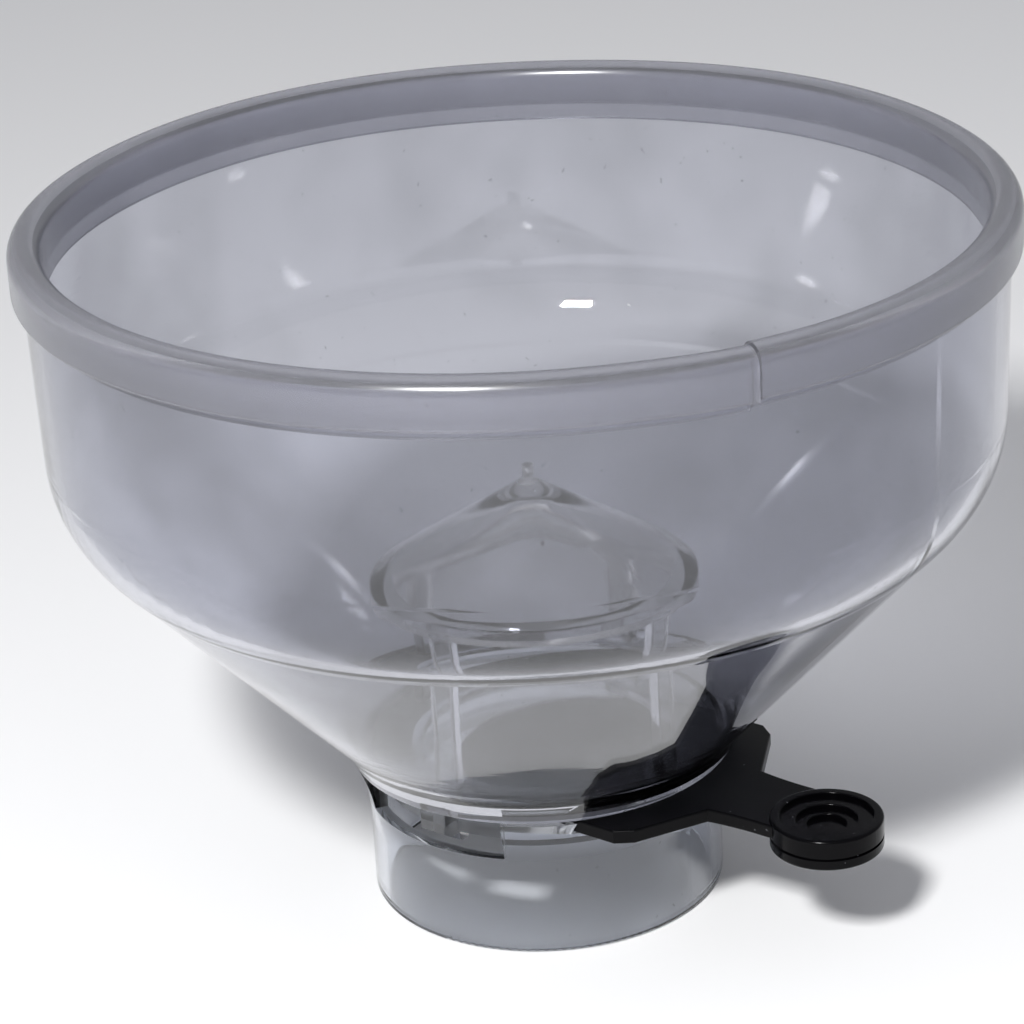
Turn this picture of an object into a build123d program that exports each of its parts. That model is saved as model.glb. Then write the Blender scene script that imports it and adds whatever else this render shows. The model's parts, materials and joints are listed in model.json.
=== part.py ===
"""Clear gravity hopper: a funnel bowl over a shut-off slide gate.

Millimetres. The origin is the centre of the outlet's bottom edge, +Z is up, and the gate pulls out along +X.
Every piece is drawn in its place, with the gate a little way open.
"""

from build123d import *
import math
import os

# ---- driving dimensions ----

# Outlet and throat
outlet_radius = 30.0
outlet_wall = 2.0
throat_flare_start = 13.5
throat_flare_radius = 27.7
throat_seat_thickness = 1.6
throat_ledge_under_gate = 1.5

# Bowl
rim_radius = 79.0
rim_height = 119.2
bowl_wall = 2.0
wall_draft = 1.2
shoulder_radius = 20.7
shoulder_turn = 50.3
cone_slope = 47.8
crease_radius = 4.0
rim_edge_radius = 0.6

# Gate, its channel and the floors above and below it
gate_floor_top = 22.6
gate_floor_thickness = 2.6
gate_thickness = 2.4
gate_play = 0.3
gate_side_margin = 8.0
gate_travel_shown = 9.0
parting_slit = 0.8
parting_contact_angle = 124.0

# Gate's outline outside the channel
gate_corner_set_back = 0.5
gate_corner_length = 2.7
gate_corner_drop = 2.0
sweep_length = 6.1
handle_length = 17.7
handle_shoulder = 1.25
handle_waist = 0.7
gate_edge_radius = 0.35

# Finger knob
knob_radius = 9.25
knob_height = 5.3
knob_stand = 0.4
knob_edge_radius = 0.5
dish_ledges = (1.65, 2.6, 1.8)
dish_step = 0.8
dish_edge_radius = 0.2
knob_groove_depth = 0.35
knob_groove_width = 0.5
tongue_half_width = 5.0
tongue_depth = 4.0
tongue_drop = 0.8
tongue_fit = 0.05

# Hook windows in the outlet collar
window_near_angle = 66.0
window_sill_drop = 5.0
window_skin = 1.4

# Guard
leg_channel_wall = 1.6
leg_thickness = 2.0
leg_width = 4.8
leg_edge_radius = 0.6
leg_height = 24.8
leg_play = 0.3
hook_proud = 0.6
hook_lead = 3.0
guard_overhang = 1.3
guard_edge = 3.7
guard_slope = 33.0
guard_ring_width = 5.2
guard_ring_height = 2.5
guard_hollow_slope = 31.0
guard_hollow_tip_radius = 6.0
guard_edge_radius = 0.5
sprue_radius = 0.9
sprue_height = 2.6

# Rim edging
edging_leg = 1.6
edging_crown = 1.8
edging_outer_skirt = 7.9
edging_inner_skirt = 10.1
edging_crown_radius = 1.7
edging_lip_radius = 0.5
edging_fit = 0.1
edging_joint_angle = -27.5
edging_joint_gap = 0.3

# ---- places that follow from them ----

gate_bottom = gate_floor_top + gate_play
gate_top = gate_bottom + gate_thickness
gate_half_width = outlet_radius - gate_side_margin
channel_half_width = gate_half_width + gate_play
throat_bore = gate_half_width - throat_ledge_under_gate
parting_height = gate_top + gate_play
collar_top = parting_height - parting_slit
seat_top = parting_height + throat_seat_thickness
outlet_bore = outlet_radius - outlet_wall
leg_radius = channel_half_width + leg_channel_wall + leg_play
leg_outer_radius = leg_radius + leg_thickness
window_inner_radius = leg_outer_radius + window_skin
window_sill = gate_floor_top - window_sill_drop
hook_tip = outlet_radius + hook_proud
guard_radius = leg_outer_radius + guard_overhang
guard_base = seat_top + leg_height

# The gate's outline is measured from the centre of its round end
gate_corner_reach = gate_half_width - gate_corner_set_back
sweep_reach = gate_corner_reach + gate_corner_length + sweep_length
knob_reach = sweep_reach + handle_length
knob_x = gate_travel_shown + knob_reach
handle_half_width = knob_radius - handle_shoulder

# A cutting wedge's rim has this many straight sides
sector_sides = 12

# The bowl's cone leaves the throat's curve at its foot
slope = math.radians(cone_slope)
draft = math.radians(wall_draft)
turn = math.radians(shoulder_turn)
cone_foot_x = outlet_radius + throat_flare_radius * (1 - math.sin(slope))
cone_foot_z = throat_flare_start + throat_flare_radius * math.cos(slope)


def throat_radius(height):
    """Outside radius of the flared throat at a height."""
    rise = height - throat_flare_start
    return outlet_radius + throat_flare_radius - math.sqrt(throat_flare_radius**2 - rise**2)


def throat_arc(low, high):
    """The throat's outside curve between two heights."""
    middle = (low + high) / 2
    ends = [(throat_radius(height), height) for height in (low, middle, high)]
    return ThreePointArc(*ends)


def turned(profile):
    """A solid turned about the vertical axis from a face drawn as (radius, height)."""
    return revolve(Plane.XZ * profile, Axis.Z)


def rounded(profile, corner, radius):
    """Round the corner of a flat profile that lies nearest to a point."""
    vertex = profile.vertices().sort_by_distance(corner)[0]
    return fillet(vertex, radius)


def shoulder_centre():
    """Centre of the shoulder's arc as (radius, height): tangent to the wall, and ending on the cone."""
    run = 1 / math.tan(slope)
    wall_x = rim_radius - rim_height * math.tan(draft) - shoulder_radius * math.cos(draft)
    wall_x -= shoulder_radius * math.sin(draft) * math.tan(draft)
    end_x = wall_x + shoulder_radius * math.cos(turn)
    end_rise = cone_foot_z + shoulder_radius * math.sin(turn)
    height = (end_x - cone_foot_x + end_rise * run) / (run - math.tan(draft))
    return (wall_x + height * math.tan(draft), height)


def shoulder_point(radius, angle):
    """A point on an arc about the shoulder's centre, at an angle below the horizontal."""
    centre_x, centre_z = shoulder_centre()
    return (centre_x + radius * math.cos(angle), centre_z - radius * math.sin(angle))


def shoulder_arc(radius):
    """The shoulder's curve from the wall down to the cone."""
    return ThreePointArc(*[shoulder_point(radius, angle) for angle in (draft, (draft + turn) / 2, turn)])


def sector(radius, start, end, low, high):
    """A wedge of a disc between two angles and two heights, to cut round the outlet."""
    step = math.radians(end - start) / sector_sides
    reach = radius / math.cos(step / 2)
    angles = [math.radians(start) + step * index for index in range(sector_sides + 1)]
    rim = [(reach * math.cos(angle), reach * math.sin(angle)) for angle in angles]
    return extrude(Plane.XY.offset(low) * make_face(Polyline((0, 0), *rim, close=True)), high - low)


def ring_sector(inner, outer, start, end, low, high):
    """A wedge with its middle left out."""
    return sector(outer, start, end, low, high) - Pos(0, 0, (low + high) / 2) * Cylinder(inner, high - low)


def box_between(low, high):
    """A box given by its lowest and highest corners."""
    size = [b - a for a, b in zip(low, high)]
    centre = [(a + b) / 2 for a, b in zip(low, high)]
    return Pos(*centre) * Box(*size)


def hopper_bowl():
    """Wall, round shoulder, cone and throat, with a flat seat round the throat's hole."""
    inner_radius = shoulder_radius - bowl_wall
    inner_foot_x = cone_foot_x - bowl_wall / math.sin(slope)
    seat_x = inner_foot_x + (seat_top - cone_foot_z) / math.tan(slope)
    rim_inner = (rim_radius - bowl_wall / math.cos(draft), rim_height)
    outer_crease = shoulder_point(shoulder_radius, turn)
    inner_crease = shoulder_point(inner_radius, turn)
    outside = throat_arc(parting_height, cone_foot_z) + Line((cone_foot_x, cone_foot_z), outer_crease)
    outside += shoulder_arc(shoulder_radius)
    outside += Polyline(shoulder_point(shoulder_radius, draft), (rim_radius, rim_height), rim_inner)
    inside = Line(rim_inner, shoulder_point(inner_radius, draft)) + shoulder_arc(inner_radius)
    inside += Polyline(
        inner_crease,
        (seat_x, seat_top),
        (throat_bore, seat_top),
        (throat_bore, parting_height),
        (throat_radius(parting_height), parting_height),
    )
    profile = make_face(outside + inside)
    profile = rounded(profile, outer_crease, crease_radius)
    profile = rounded(profile, inner_crease, crease_radius)
    profile = rounded(profile, (rim_radius, rim_height), rim_edge_radius)
    profile = rounded(profile, rim_inner, rim_edge_radius)
    bowl = turned(profile)
    for side in (1, -1):
        bowl -= leg_slot(side, parting_height - 1, seat_top + 1, leg_outer_radius + leg_play)
    return bowl


def leg_slot(side, low, high, outer):
    """The hole that a hooked leg passes down through."""
    half = leg_width / 2 + leg_play
    near, far = sorted((side * (leg_radius - leg_play), side * outer))
    return box_between((-half, near, low), (half, far, high))


def gate_channel():
    """The room that the gate slides in, open towards +X."""
    height = parting_height - gate_floor_top
    level = gate_floor_top + height / 2
    round_end = Pos(0, 0, level) * Cylinder(channel_half_width, height)
    reach = throat_radius(parting_height) + gate_play
    straight = box_between((0, -channel_half_width, gate_floor_top), (reach, channel_half_width, parting_height))
    return round_end + straight


def outlet_collar():
    """Outlet tube with the gate's floor and channel, two hook windows and the slit under the throat."""
    floor_bottom = gate_floor_top - gate_floor_thickness
    tube = Polyline(
        (throat_radius(parting_height), parting_height),
        (throat_bore, parting_height),
        (throat_bore, floor_bottom),
        (outlet_bore, floor_bottom),
        (outlet_bore, 0),
        (outlet_radius, 0),
        (outlet_radius, throat_flare_start),
    )
    profile = make_face(tube + throat_arc(throat_flare_start, parting_height))
    profile = rounded(profile, (outlet_radius, 0), outlet_wall / 4)
    profile = rounded(profile, (outlet_bore, 0), outlet_wall / 4)
    collar = turned(profile) - gate_channel()
    outside = throat_radius(parting_height) + 1
    collar -= sector(outside, -parting_contact_angle, parting_contact_angle, collar_top, parting_height + 1)
    for side in (1, -1):
        start, end = sorted((side * window_near_angle, side * parting_contact_angle))
        collar -= ring_sector(window_inner_radius, outside, start, end, window_sill, parting_height)
        collar -= leg_slot(side, window_sill, parting_height + 1, window_inner_radius + leg_play)
    return collar


def guard_cap():
    """The guard's cone and base ring, hollow underneath, with the broken-off sprue at its point."""
    hollow_slope = math.radians(guard_hollow_slope)
    ring_inner = guard_radius - guard_ring_width
    ring_top = guard_base + guard_ring_height
    edge_top = guard_base + guard_edge
    point = edge_top + guard_radius * math.tan(math.radians(guard_slope))
    tip_centre = ring_top + ring_inner * math.tan(hollow_slope) - guard_hollow_tip_radius / math.cos(hollow_slope)
    angles = (0, hollow_slope / 2, hollow_slope)
    reach = guard_hollow_tip_radius
    tip = [(reach * math.sin(angle), tip_centre + reach * math.cos(angle)) for angle in angles]
    edge = Polyline(
        tip[2],
        (ring_inner, ring_top),
        (ring_inner, guard_base),
        (guard_radius, guard_base),
        (guard_radius, edge_top),
        (0, point),
        tip[0],
    )
    profile = make_face(ThreePointArc(*tip) + edge)
    profile = rounded(profile, (guard_radius, edge_top), guard_edge_radius)
    sprue_foot = point - sprue_radius
    return turned(profile) + Pos(0, 0, sprue_foot + sprue_height / 2) * Cylinder(sprue_radius, sprue_height)


def guard_leg(foot):
    """A straight leg on the +X side, from its foot up into the cap's base ring."""
    half = leg_width / 2
    leg = box_between((leg_radius, -half, foot), (leg_outer_radius, half, guard_base + guard_edge / 2))
    return fillet(leg.edges().filter_by(Axis.Z), leg_edge_radius)


def guard_hook():
    """The snap hook at the foot of a long leg, on the +X side: flat on top, sloped below to lead it in."""
    outline = Polyline(
        (leg_radius, window_sill),
        (leg_outer_radius, window_sill),
        (hook_tip, window_sill + hook_lead),
        (hook_tip, collar_top),
        (leg_radius, collar_top),
        close=True,
    )
    return extrude(Plane.XZ * make_face(outline), leg_width / 2, both=True)


def bean_guard():
    """Cap, two short legs that stand on the seat, and two long ones that hook into the collar's windows."""
    guard = guard_cap()
    for angle in (0, 180):
        guard += Rot(0, 0, angle) * guard_leg(seat_top)
    for angle in (90, 270):
        guard += Rot(0, 0, angle) * (guard_leg(window_sill) + guard_hook())
    return guard


def rim_edging():
    """Channel strip pushed down over the bare rim, cut to length with a butt joint."""
    slot_outer = rim_radius + edging_fit
    slot_inner = rim_radius - bowl_wall - edging_inner_skirt * math.tan(draft) - edging_fit
    slot_top = rim_height + edging_fit
    top = slot_top + edging_crown
    outer = slot_outer + edging_leg
    inner = slot_inner - edging_leg
    outline = Polyline(
        (inner, top - edging_inner_skirt),
        (slot_inner, top - edging_inner_skirt),
        (slot_inner, slot_top),
        (slot_outer, slot_top),
        (slot_outer, top - edging_outer_skirt),
        (outer, top - edging_outer_skirt),
        (outer, top),
        (inner, top),
        close=True,
    )
    profile = make_face(outline)
    profile = rounded(profile, (outer, top), edging_crown_radius)
    profile = rounded(profile, (inner, top), edging_crown_radius)
    profile = rounded(profile, (outer, top - edging_outer_skirt), edging_lip_radius)
    profile = rounded(profile, (inner, top - edging_inner_skirt), edging_lip_radius)
    half = edging_joint_gap / 2
    saw_cut = box_between((inner - 1, -half, rim_height - edging_inner_skirt), (outer + 1, half, top + 1))
    return turned(profile) - Rot(0, 0, edging_joint_angle) * saw_cut


def gate_outline():
    """The gate seen from above, from its round end to where the handle meets the knob."""
    sweep_end = (sweep_reach, handle_half_width)
    waist = ((sweep_reach + knob_reach) / 2, handle_half_width - handle_waist)
    edge = Polyline(
        (0, gate_half_width),
        (gate_corner_reach, gate_half_width),
        (gate_corner_reach + gate_corner_length, gate_half_width - gate_corner_drop),
        sweep_end,
    )
    handle = ThreePointArc(sweep_end, waist, (knob_reach, handle_half_width))
    half = edge + handle + mirror(edge + handle, Plane.XZ)
    end = ThreePointArc((0, gate_half_width), (-gate_half_width, 0), (0, -gate_half_width))
    return make_face(half + end + Line((knob_reach, handle_half_width), (knob_reach, -handle_half_width)))


def slide_gate():
    """Plate, swept shoulders, handle and the tongue that the knob is pressed on to."""
    plate = extrude(Plane.XY.offset(gate_bottom) * gate_outline(), gate_thickness)
    rims = plate.edges().filter_by(Plane.XY)
    plate = Pos(gate_travel_shown, 0, 0) * fillet(rims, gate_edge_radius)
    level = (gate_bottom + gate_top) / 2
    plate -= Pos(knob_x, 0, level) * Cylinder(knob_radius + tongue_fit, gate_thickness)
    tongue_end = knob_x - knob_radius + tongue_depth
    tongue_start = knob_x - knob_radius - handle_half_width / 2
    low = (tongue_start, -tongue_half_width, gate_bottom)
    return plate + box_between(low, (tongue_end, tongue_half_width, gate_top - tongue_drop))


def gate_knob():
    """Round finger knob with a stepped dish on top, a groove round its side and a pocket for the tongue."""
    top = gate_top + knob_stand
    knob = Pos(0, 0, top - knob_height / 2) * Cylinder(knob_radius, knob_height)
    rims = knob.edges().filter_by(GeomType.CIRCLE)
    knob = fillet(rims, knob_edge_radius)
    groove = Cylinder(knob_radius + 1, knob_groove_width) - Cylinder(knob_radius - knob_groove_depth, knob_groove_width)
    knob -= Pos(0, 0, gate_bottom - knob_groove_width) * groove
    for level in range(len(dish_ledges)):
        radius = knob_radius - sum(dish_ledges[: level + 1])
        depth = (level + 1) * dish_step
        knob -= Pos(0, 0, top - depth / 2) * Cylinder(radius, depth)
        mouth = knob.edges().filter_by(GeomType.CIRCLE).sort_by_distance((radius, 0, top - depth + dish_step))[0]
        knob = fillet(mouth, dish_edge_radius)
    knob = Pos(knob_x, 0, 0) * knob
    pocket_end = knob_x - knob_radius + tongue_depth + tongue_fit
    half = tongue_half_width + tongue_fit
    low = (knob_x - knob_radius - 1, -half, gate_bottom - tongue_fit)
    return knob - box_between(low, (pocket_end, half, gate_top - tongue_drop + tongue_fit))


PIECES = {
    "hopper_bowl": hopper_bowl,
    "outlet_collar": outlet_collar,
    "bean_guard": bean_guard,
    "rim_edging": rim_edging,
    "slide_gate": slide_gate,
    "gate_knob": gate_knob,
}

os.makedirs("parts", exist_ok=True)
for name, build in PIECES.items():
    export_step(build(), f"parts/{name}.step")
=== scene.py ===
"""Looks of a clear gravity hopper: polished and frosted plastic, a black slide gate, and a plain studio.

Metres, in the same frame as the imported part: +Z is up and the gate pulls out along +X.
"""

import json
import math

import bmesh
import bpy
from bpy.props import FloatProperty, FloatVectorProperty, IntProperty, PointerProperty
from mathutils import Matrix, Vector


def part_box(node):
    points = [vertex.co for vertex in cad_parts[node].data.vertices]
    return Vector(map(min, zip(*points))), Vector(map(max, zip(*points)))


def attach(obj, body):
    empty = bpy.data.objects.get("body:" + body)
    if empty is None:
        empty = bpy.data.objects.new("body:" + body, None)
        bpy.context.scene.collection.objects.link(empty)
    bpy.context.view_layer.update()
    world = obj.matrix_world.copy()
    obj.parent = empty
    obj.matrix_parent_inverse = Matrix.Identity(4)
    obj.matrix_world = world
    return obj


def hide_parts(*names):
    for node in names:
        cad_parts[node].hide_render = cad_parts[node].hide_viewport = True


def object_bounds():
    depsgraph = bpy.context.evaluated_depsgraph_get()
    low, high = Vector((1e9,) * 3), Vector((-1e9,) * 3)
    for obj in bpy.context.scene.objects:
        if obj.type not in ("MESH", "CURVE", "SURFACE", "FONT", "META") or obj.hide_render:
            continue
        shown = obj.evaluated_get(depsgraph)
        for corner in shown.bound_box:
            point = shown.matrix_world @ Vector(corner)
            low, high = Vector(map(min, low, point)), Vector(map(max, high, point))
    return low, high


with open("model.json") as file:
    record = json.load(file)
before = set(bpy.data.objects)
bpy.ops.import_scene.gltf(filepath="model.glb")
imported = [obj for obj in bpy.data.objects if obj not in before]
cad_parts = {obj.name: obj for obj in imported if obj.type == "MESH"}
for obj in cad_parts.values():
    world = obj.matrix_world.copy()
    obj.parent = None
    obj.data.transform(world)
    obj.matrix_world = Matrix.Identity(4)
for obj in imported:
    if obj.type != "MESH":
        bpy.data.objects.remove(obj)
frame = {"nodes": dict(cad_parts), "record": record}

bl_info = {
    "name": "Gravity Hopper",
    "version": (1, 0, 0),
    "blender": (4, 5, 0),
    "location": "View3D > Sidebar > Hopper",
    "description": "Builds the looks of a clear gravity hopper with a slide gate",
    "category": "Object",
}

CAD_LOW, CAD_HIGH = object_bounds()
MM = 0.001


# ---- shader expressions ----

class Wire:
    """A socket in a node tree, or a plain number, that can be used in sums."""

    def __init__(self, tree, value):
        self.tree = tree
        self.value = value

    def node(self, kind, settings=None, **inputs):
        """Adds one node and returns it. Settings are set first, then its sockets."""
        made = self.tree.nodes.new(kind)
        for name, value in (settings or {}).items():
            setattr(made, name, value)
        for name, value in inputs.items():
            key = int(name[1:]) if name[0] == "_" else name.replace("_", " ")
            plug(self.tree, made.inputs[key], value)
        return made

    def out(self, kind, settings=None, output=0, **inputs):
        """Adds one node and returns one of its outputs as a Wire."""
        return Wire(self.tree, self.node(kind, settings, **inputs).outputs[output])

    def maths(self, operation, *values):
        """One Math node on this value and the others."""
        made = self.tree.nodes.new("ShaderNodeMath")
        made.operation = operation
        for socket, value in zip(made.inputs, (self, *values)):
            plug(self.tree, socket, value)
        return Wire(self.tree, made.outputs[0])

    def __add__(self, other):
        return self.maths("ADD", other)

    __radd__ = __add__

    def __mul__(self, other):
        return self.maths("MULTIPLY", other)

    __rmul__ = __mul__

    def __sub__(self, other):
        return self.maths("SUBTRACT", other)

    def __rsub__(self, other):
        return Wire(self.tree, other).maths("SUBTRACT", self)

    def smooth(self, low, high):
        """0 below low, 1 above high, and a smooth step between them."""
        smoothstep = {"interpolation_type": "SMOOTHSTEP"}
        return self.out("ShaderNodeMapRange", smoothstep, Value=self, From_Min=low, From_Max=high)

    def blend(self, first, second):
        """A colour between two, by this mask."""
        colours = {"data_type": "RGBA"}
        return self.out("ShaderNodeMix", colours, output=2, _0=self, _6=first, _7=second)


def plug(tree, socket, value):
    """Links a Wire to a socket, or sets the socket's own value."""
    if isinstance(value, Wire):
        value = value.value
    if isinstance(value, bpy.types.NodeSocket):
        tree.links.new(value, socket)
    else:
        socket.default_value = value


def new_material(name):
    """An empty material with its shader, and a Wire of Object coordinates to build on."""
    material = bpy.data.materials.new(name)
    material.use_nodes = True
    tree = material.node_tree
    tree.nodes.clear()
    shader = tree.nodes.new("ShaderNodeBsdfPrincipled")
    output = tree.nodes.new("ShaderNodeOutputMaterial")
    tree.links.new(shader.outputs[0], output.inputs["Surface"])
    place = Wire(tree, tree.nodes.new("ShaderNodeTexCoord").outputs["Object"])
    return material, shader, place


def set_sockets(shader, **values):
    """Sets or links a shader's sockets by name."""
    for name, value in values.items():
        plug(shader.id_data, shader.inputs[name.replace("_", " ")], value)


def noise(place, scale, detail, roughness=0.5):
    """Noise of so many waves a metre."""
    return place.out("ShaderNodeTexNoise", Vector=place, Scale=scale, Detail=detail, Roughness=roughness)


def stretched(place, scale, turn=(0.0, 0.0, 0.0)):
    """Coordinates stretched and turned, for noise drawn out into lines."""
    return place.out("ShaderNodeMapping", Vector=place, Rotation=turn, Scale=scale)


def bump(place, height, distance):
    """A normal pushed about by a height, so deep where the height is 1."""
    return place.out("ShaderNodeBump", Height=height, Distance=distance)


def rgba(colour, share=1.0):
    """An opaque colour, darkened to a share of itself."""
    return (*[channel * share for channel in colour], 1.0)


# ---- materials ----

# Heights in the frame between which a finish comes or goes
BORE_TOP = (16.5 * MM, 17.0 * MM)
NECK_FOOT = (23.0 * MM, 26.0 * MM)
NECK_TOP = (34.0 * MM, 44.0 * MM)

# A height above every piece, for plastic with no sprue scar
NO_SCAR = 1.0
SCAR_DEPTH = 3.5 * MM
SPRUE_LENGTH = 2.5 * MM

# How far inside the outlet's outer face the unpolished faces start, and over what width they fade in
POLISHED_SKIN = 0.3 * MM
SATIN_EDGE = 0.4 * MM

# Waves a metre along each axis: fine lines for scratches, and level rings for the mould's flow lines
SCRATCH_STRETCH = (900.0, 900.0, 26.0)
SCRATCH_TURN = (0.5, 0.2, 0.7)
FLOW_STRETCH = (14.0, 14.0, 520.0)

# Depths of the edging's mottle and the black plastic's grain
EDGING_MOTTLE = 0.02 * MM
BLACK_GRAIN = 0.006 * MM

# Dirt on the edging and lint on the black plastic, and how dark painted shade patches and dust make a clear
# wall
SPECK = (0.22, 0.22, 0.24)
LINT = (0.10, 0.10, 0.11)
SHADE_PATCH_SHARE = 0.78
DUST_SHARE = 0.62

# Indexes of refraction: the clear mouldings, the soft PVC and the black mouldings
CLEAR_IOR = 1.58
EDGING_IOR = 1.52
BLACK_IOR = 1.5


def clear_plastic(name, tint, haze, ripple, scar_height=NO_SCAR, satin_radius=0.0):
    """Polished smoke-tinted plastic: soft patches of painted shade in its tint, scratches, dust and the
    ripple of a moulded wall.

    Above scar_height the surface is the torn, cloudy plastic where a sprue was twisted off. Inside
    satin_radius and above the outlet's bore, the faces of the channel and windows are left unpolished.
    """
    material, shader, place = new_material(name)
    height = place.out("ShaderNodeSeparateXYZ", output=2, Vector=place)
    flat = place.out("ShaderNodeVectorMath", {"operation": "MULTIPLY"}, _0=place, _1=(1.0, 1.0, 0.0))
    radius = place.out("ShaderNodeVectorMath", {"operation": "LENGTH"}, output=1, _0=flat)

    # Painted shade: soft darker patches in the tint that stand in for the shadows seen through the wall
    painted_shade_patches = noise(place, 15.0, 3.0, 0.55).smooth(0.42, 0.62)
    handled = noise(place, 26.0, 4.0, 0.6).smooth(0.48, 0.75)
    scratches = noise(stretched(place, SCRATCH_STRETCH, SCRATCH_TURN), 1.0, 2.0).smooth(0.68, 0.80)
    dust = noise(place, 900.0, 1.0, 0.4).smooth(0.76, 0.80)
    scar = height.smooth(scar_height - SCAR_DEPTH, scar_height)
    satin = (1 - radius.smooth(satin_radius - SATIN_EDGE, satin_radius)) * height.smooth(*BORE_TOP)

    waves = noise(place, 30.0, 1.0, 0.4)
    torn = noise(place, 1300.0, 2.0) * height.smooth(scar_height, scar_height + MM)
    neck = (1 - height.smooth(*NECK_TOP)) * height.smooth(*NECK_FOOT)
    rings = noise(stretched(place, FLOW_STRETCH), 1.0, 2.0) * neck
    set_sockets(
        shader,
        Base_Color=dust.blend(painted_shade_patches.blend(rgba(tint), rgba(tint, SHADE_PATCH_SHARE)), rgba(tint, DUST_SHARE)),
        Roughness=haze + handled * 0.05 + scratches * 0.10 + dust * 0.2 + scar * 0.22 + satin * 0.3,
        IOR=CLEAR_IOR,
        Transmission_Weight=1.0,
        Normal=bump(place, waves + torn * 8.0 + rings * 0.6, ripple),
    )
    return material


def frosted_plastic(name, tint):
    """Milky flexible PVC: light goes through it blurred, and dirt and specks sit in its surface."""
    material, shader, place = new_material(name)
    mottle = noise(place, 130.0, 4.0, 0.6)
    bands = noise(place, 24.0, 2.0).smooth(0.35, 0.7)
    specks = noise(place, 1500.0, 1.0, 0.4).smooth(0.765, 0.80)
    milk = (mottle * 0.5 + bands * 0.5).blend(rgba(tint, 0.92), rgba(tint))
    set_sockets(
        shader,
        Base_Color=specks.blend(milk, rgba(SPECK)),
        Roughness=0.17 + mottle * 0.09,
        IOR=EDGING_IOR,
        Transmission_Weight=0.9,
        Normal=bump(place, mottle, EDGING_MOTTLE),
    )
    return material


def black_plastic(name, shade, grain, satin):
    """Black moulded plastic with a fine grain, rubbed smoother where it is handled."""
    material, shader, place = new_material(name)
    pits = noise(place, 1600.0, 2.0)
    rubs = noise(place, 110.0, 4.0, 0.6).smooth(0.5, 0.7)
    lint = noise(place, 1300.0, 1.0, 0.4).smooth(0.79, 0.82)
    set_sockets(
        shader,
        Base_Color=lint.blend(rgba(shade), rgba(LINT)),
        Roughness=satin + rubs * 0.06,
        IOR=BLACK_IOR,
        Specular_IOR_Level=0.10,
        Normal=bump(place, pits, grain),
    )
    return material


# ---- the user's sizes and colours ----

class HopperPlastic(bpy.types.PropertyGroup):
    bowl_tint: FloatVectorProperty(
        name="Bowl Tint", description="Smoke tint of the bowl's wall", subtype="COLOR", size=3,
        default=(0.665, 0.675, 0.735), min=0.0, max=1.0,
    )
    collar_tint: FloatVectorProperty(
        name="Outlet Tint", description="Tint of the outlet collar", subtype="COLOR", size=3,
        default=(0.91, 0.94, 1.0), min=0.0, max=1.0,
    )
    guard_tint: FloatVectorProperty(
        name="Guard Tint", description="Tint of the bean guard", subtype="COLOR", size=3,
        default=(0.88, 0.88, 0.87), min=0.0, max=1.0,
    )
    black: FloatVectorProperty(
        name="Black", description="Colour of the gate and its knob", subtype="COLOR", size=3,
        default=(0.0012, 0.0011, 0.0015), min=0.0, max=1.0,
    )
    haze: FloatProperty(
        name="Haze", description="Roughness of the polished plastic", default=0.03, min=0.0, max=1.0
    )
    ripple: FloatProperty(
        name="Ripple", description="Depth of the wall's ripple", default=0.0001, unit="LENGTH", precision=6
    )


class HopperEdging(bpy.types.PropertyGroup):
    milk: FloatVectorProperty(
        name="Milk", description="Colour of the rim edging", subtype="COLOR", size=3,
        default=(0.70, 0.705, 0.765), min=0.0, max=1.0,
    )
    joint_angle: FloatProperty(
        name="Joint Angle", description="Where the strip's two ends meet", default=math.radians(-27.5),
        unit="ROTATION",
    )
    joint_gap: FloatProperty(
        name="Joint Gap", description="Gap between the strip's ends", default=0.0003, unit="LENGTH",
        precision=5,
    )
    sag: FloatProperty(
        name="Sag", description="How far one end has slipped down", default=0.00045, unit="LENGTH",
        precision=5,
    )
    crown: FloatProperty(
        name="Crown", description="Rounding of the strip's top", default=0.0026, unit="LENGTH", precision=5
    )
    steps: IntProperty(name="Steps", description="Sections round the strip", default=360, min=60, max=1000)


class HopperStage(bpy.types.PropertyGroup):
    azimuth: FloatProperty(
        name="Azimuth", description="Camera's turn round the hopper", default=math.radians(38),
        unit="ROTATION",
    )
    elevation: FloatProperty(
        name="Elevation", description="Camera's height angle", default=math.radians(29.08), unit="ROTATION"
    )
    distance: FloatProperty(
        name="Distance", description="From the outlet's foot to the camera", default=0.6067, unit="LENGTH"
    )
    tilt: FloatProperty(
        name="Tilt", description="How far the camera looks above the outlet's foot",
        default=math.radians(5.78), unit="ROTATION",
    )
    pan: FloatProperty(
        name="Pan", description="How far the camera looks to one side", default=math.radians(-0.30),
        unit="ROTATION",
    )
    roll: FloatProperty(
        name="Roll", description="Camera's roll", default=math.radians(-3.13), unit="ROTATION"
    )
    lens: FloatProperty(name="Lens", description="Focal length in millimetres", default=122.6)
    key_power: FloatProperty(
        name="Key Power", description="Power of the key light in watts", default=8.9, unit="POWER"
    )
    key_size: FloatProperty(name="Key Size", description="Side of the key light", default=0.10, unit="LENGTH")
    sky_strength: FloatProperty(name="Sky Strength", description="Strength of the even sky", default=0.42)
    floor_colour: FloatVectorProperty(
        name="Floor", description="Colour of the floor", subtype="COLOR", size=3,
        default=(0.88, 0.88, 0.88), min=0.0, max=1.0,
    )


# ---- operators ----

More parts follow.
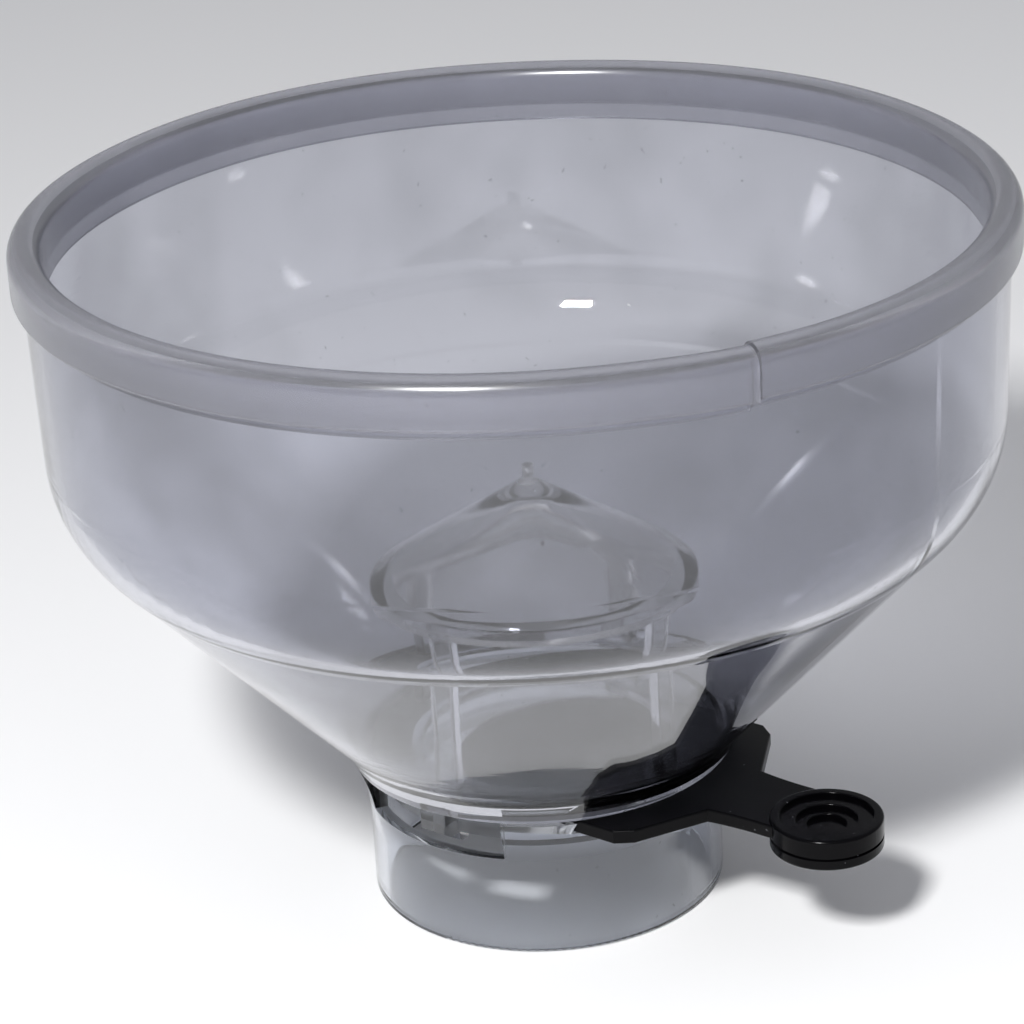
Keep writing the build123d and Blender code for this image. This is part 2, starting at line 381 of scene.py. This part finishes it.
class HOPPER_OT_clear_walls(bpy.types.Operator):
    """Polish the bowl, outlet collar and guard"""

    bl_idname = "hopper.clear_walls"
    bl_label = "Finish Clear Walls"

    def execute(self, context):
        plastic = context.scene.hopper_plastic
        sprue_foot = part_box("bean_guard")[1].z - SPRUE_LENGTH
        outlet_radius = frame["record"]["mounts"][0]["dims"]["r_mm"] * MM
        unpolished = {"satin_radius": outlet_radius - POLISHED_SKIN}
        for node, tint, haze, finish in (
            ("hopper_bowl", plastic.bowl_tint, plastic.haze, {}),
            ("outlet_collar", plastic.collar_tint, plastic.haze * 1.5, unpolished),
            ("bean_guard", plastic.guard_tint, plastic.haze * 2, {"scar_height": sprue_foot}),
        ):
            material = clear_plastic(node + "_plastic", tint, haze, plastic.ripple, **finish)
            frame["nodes"][node].material_slots[0].material = material
        return {"FINISHED"}


class HOPPER_OT_edging(bpy.types.Operator):
    """Lay the frosted edging strip round the rim"""

    bl_idname = "hopper.edging"
    bl_label = "Lay Rim Edging"

    def execute(self, context):
        sizes = context.scene.hopper_edging
        strip = edging_strip(sizes)
        strip.data.materials.append(frosted_plastic("edging_plastic", sizes.milk))
        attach(strip, "hopper")
        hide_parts("rim_edging")
        return {"FINISHED"}


class HOPPER_OT_gate(bpy.types.Operator):
    """Finish the gate and its knob"""

    bl_idname = "hopper.gate"
    bl_label = "Finish Gate"

    def execute(self, context):
        shade = context.scene.hopper_plastic.black
        for node, satin in (("slide_gate", 0.28), ("gate_knob", 0.17)):
            material = black_plastic(node + "_plastic", shade, BLACK_GRAIN, satin)
            frame["nodes"][node].material_slots[0].material = material
        return {"FINISHED"}


# The edging's section: how far it lies inside its place, its width, the wall of each skirt, the thickness
# over the rim, the skirts' lengths, and how its corners are rounded
EDGING_INSET = 0.05 * MM
EDGING_WIDTH = 5.5 * MM
EDGING_WALL = 1.55 * MM
EDGING_TOP = 1.1 * MM
EDGING_INNER_SKIRT = 10.1 * MM
EDGING_OUTER_SKIRT = 7.9 * MM
EDGING_LIP_RADIUS = 0.4 * MM
CROWN_SEGMENTS = 9
LIP_SEGMENTS = 3
SHARP_ANGLE = math.radians(35)

# How it lies: the height of its waves, their number round the rim, and the angle over which an end slips
EDGING_WAVE = 0.12 * MM
EDGING_WAVES = 5
EDGING_SLIP_ANGLE = 0.16


def round_corners(form, corners, radius, segments):
    """Rounds corners of a flat section."""
    bmesh.ops.bevel(
        form, geom=corners, offset=radius, offset_type="OFFSET", segments=segments, profile=0.5,
        affect="VERTICES", material=-1,
    )


def edging_section(form, outer, top, crown):
    """The strip's section as one face on the XZ plane, with a rounded crown and lips."""
    inner = outer - EDGING_WIDTH
    outline = (
        (inner, top - EDGING_INNER_SKIRT),
        (inner + EDGING_WALL, top - EDGING_INNER_SKIRT),
        (inner + EDGING_WALL, top - EDGING_TOP),
        (outer - EDGING_WALL, top - EDGING_TOP),
        (outer - EDGING_WALL, top - EDGING_OUTER_SKIRT),
        (outer, top - EDGING_OUTER_SKIRT),
        (outer, top),
        (inner, top),
    )
    corners = [form.verts.new((radius, 0, height)) for radius, height in outline]
    form.faces.new(corners)
    round_corners(form, corners[6:], crown, CROWN_SEGMENTS)
    lips = [vertex for vertex in form.verts if vertex.co.z < top - EDGING_OUTER_SKIRT + EDGING_LIP_RADIUS]
    round_corners(form, lips, EDGING_LIP_RADIUS, LIP_SEGMENTS)


def slip(form, joint_angle, sag):
    """Lays the strip a little unevenly, with the end before the joint slipped down."""
    for vertex in form.verts:
        around = (math.atan2(vertex.co.y, vertex.co.x) - joint_angle) % (2 * math.pi)
        near_end = math.exp(-((2 * math.pi - around) / EDGING_SLIP_ANGLE) ** 2)
        wave = EDGING_WAVE * math.sin(EDGING_WAVES * around + 1) * math.sin(around / 2)
        vertex.co.z -= sag * near_end + EDGING_WAVE + wave


def edging_strip(sizes):
    """The channel strip that grips the rim, cut to length with a butt joint."""
    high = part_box("rim_edging")[1]
    outer = high.x - EDGING_INSET
    gap = sizes.joint_gap / outer
    form = bmesh.new()
    edging_section(form, outer, high.z, sizes.crown)
    start = Matrix.Rotation(sizes.joint_angle + gap / 2, 3, "Z")
    bmesh.ops.rotate(form, verts=form.verts, cent=(0, 0, 0), matrix=start)
    bmesh.ops.spin(
        form, geom=form.verts[:] + form.edges[:] + form.faces[:], cent=(0, 0, 0), axis=(0, 0, 1),
        angle=2 * math.pi - gap, steps=sizes.steps, use_merge=False, use_duplicate=False,
    )
    bmesh.ops.recalc_face_normals(form, faces=form.faces)
    slip(form, sizes.joint_angle, sizes.sag)
    mesh = bpy.data.meshes.new("edging_strip")
    form.to_mesh(mesh)
    form.free()
    mesh.shade_smooth()
    mesh.set_sharp_from_angle(angle=SHARP_ANGLE)
    strip = bpy.data.objects.new("edging_strip", mesh)
    bpy.context.scene.collection.objects.link(strip)
    return strip


class HOPPER_OT_stage(bpy.types.Operator):
    """Set the floor, the lights and the camera"""

    bl_idname = "hopper.stage"
    bl_label = "Build Stage"

    def execute(self, context):
        stage = context.scene.hopper_stage
        add_floor(stage)
        add_lights(stage)
        add_camera(stage)
        return {"FINISHED"}


# The floor, the sky's colour and where the key light stands
FLOOR_HALF_WIDTH = 6.0
FLOOR_GAP = 0.1 * MM
SKY_COLOUR = (0.94, 0.95, 1.0, 1.0)
KEY_AZIMUTH = math.radians(20)
KEY_ELEVATION = math.radians(42)
KEY_DISTANCE = 0.85


def add_floor(stage):
    """A wide sheet of matt paper, just under the outlet's foot."""
    mesh = bpy.data.meshes.new("floor")
    form = bmesh.new()
    bmesh.ops.create_grid(form, x_segments=1, y_segments=1, size=FLOOR_HALF_WIDTH)
    bmesh.ops.translate(form, verts=form.verts, vec=(0, 0, CAD_LOW.z - FLOOR_GAP))
    form.to_mesh(mesh)
    form.free()
    floor = bpy.data.objects.new("floor", mesh)
    bpy.context.scene.collection.objects.link(floor)
    material, shader, _ = new_material("floor_paper")
    set_sockets(shader, Base_Color=rgba(stage.floor_colour), Roughness=0.9)
    mesh.materials.append(material)


def add_lights(stage):
    """An even, slightly cool sky, and one key light from in front and the left."""
    world = bpy.data.worlds.new("studio")
    bpy.context.scene.world = world
    world.use_nodes = True
    background = world.node_tree.nodes["Background"]
    background.inputs["Color"].default_value = SKY_COLOUR
    background.inputs["Strength"].default_value = stage.sky_strength
    add_softbox("key", KEY_AZIMUTH, KEY_ELEVATION, KEY_DISTANCE, stage.key_size, stage.key_power)
    bpy.context.scene.view_settings.view_transform = "Standard"


def add_softbox(name, azimuth, elevation, distance, size, power):
    """A square area light that faces the hopper's middle."""
    light = bpy.data.lights.new(name, "AREA")
    light.size = size
    light.energy = power
    lamp = bpy.data.objects.new(name, light)
    bpy.context.scene.collection.objects.link(lamp)
    level = math.cos(elevation)
    back = Vector((math.sin(azimuth) * level, -math.cos(azimuth) * level, math.sin(elevation)))
    middle = (CAD_LOW + CAD_HIGH) / 2
    aim = back.to_track_quat("Z", "Y").to_matrix().to_4x4()
    lamp.matrix_world = Matrix.Translation(middle + back * distance) @ aim


def swung(first, second, angle):
    """Two square directions, turned by an angle in their own plane from the first towards the second."""
    return (
        first * math.cos(angle) + second * math.sin(angle),
        second * math.cos(angle) - first * math.sin(angle),
    )


def add_camera(stage):
    """A camera that faces the outlet's foot, then is panned, tilted and rolled."""
    data = bpy.data.cameras.new("camera")
    data.lens = stage.lens
    data.sensor_width = 36.0
    camera = bpy.data.objects.new("camera", data)
    bpy.context.scene.collection.objects.link(camera)
    turn = Matrix.Rotation(stage.azimuth, 3, "Z")
    place = turn @ Vector((0, -math.cos(stage.elevation), math.sin(stage.elevation))) * stage.distance
    forward = -place.normalized()
    right = turn @ Vector((1, 0, 0))
    up = right.cross(forward)
    forward, right = swung(forward, right, stage.pan)
    forward, up = swung(forward, up, stage.tilt)
    right, up = swung(right, up, stage.roll)
    axes = Matrix((right, up, -forward)).transposed()
    camera.matrix_world = Matrix.Translation(place) @ axes.to_4x4()
    bpy.context.scene.camera = camera


class HOPPER_PT_panel(bpy.types.Panel):
    """The hopper's sizes, colours and steps"""

    bl_idname = "HOPPER_PT_panel"
    bl_label = "Gravity Hopper"
    bl_space_type = "VIEW_3D"
    bl_region_type = "UI"
    bl_category = "Hopper"

    def draw(self, context):
        for group in (getattr(context.scene, name) for name in GROUPS):
            box = self.layout.box()
            for name in group.bl_rna.properties.keys():
                if name not in ("rna_type", "name"):
                    box.prop(group, name)
        for operator in OPERATORS:
            self.layout.operator(operator.bl_idname)


GROUPS = {"hopper_plastic": HopperPlastic, "hopper_edging": HopperEdging, "hopper_stage": HopperStage}
OPERATORS = (HOPPER_OT_clear_walls, HOPPER_OT_edging, HOPPER_OT_gate, HOPPER_OT_stage)


def register():
    for group in GROUPS.values():
        bpy.utils.register_class(group)
    for operator in OPERATORS:
        bpy.utils.register_class(operator)
    bpy.utils.register_class(HOPPER_PT_panel)
    for name, group in GROUPS.items():
        setattr(bpy.types.Scene, name, PointerProperty(type=group))


def unregister():
    for name in GROUPS:
        delattr(bpy.types.Scene, name)
    for made in (HOPPER_PT_panel, *reversed(OPERATORS), *reversed(list(GROUPS.values()))):
        bpy.utils.unregister_class(made)


def main():
    register()
    bpy.ops.hopper.clear_walls()
    bpy.ops.hopper.edging()
    bpy.ops.hopper.gate()
    bpy.ops.hopper.stage()


if __name__ == "__main__":
    main()
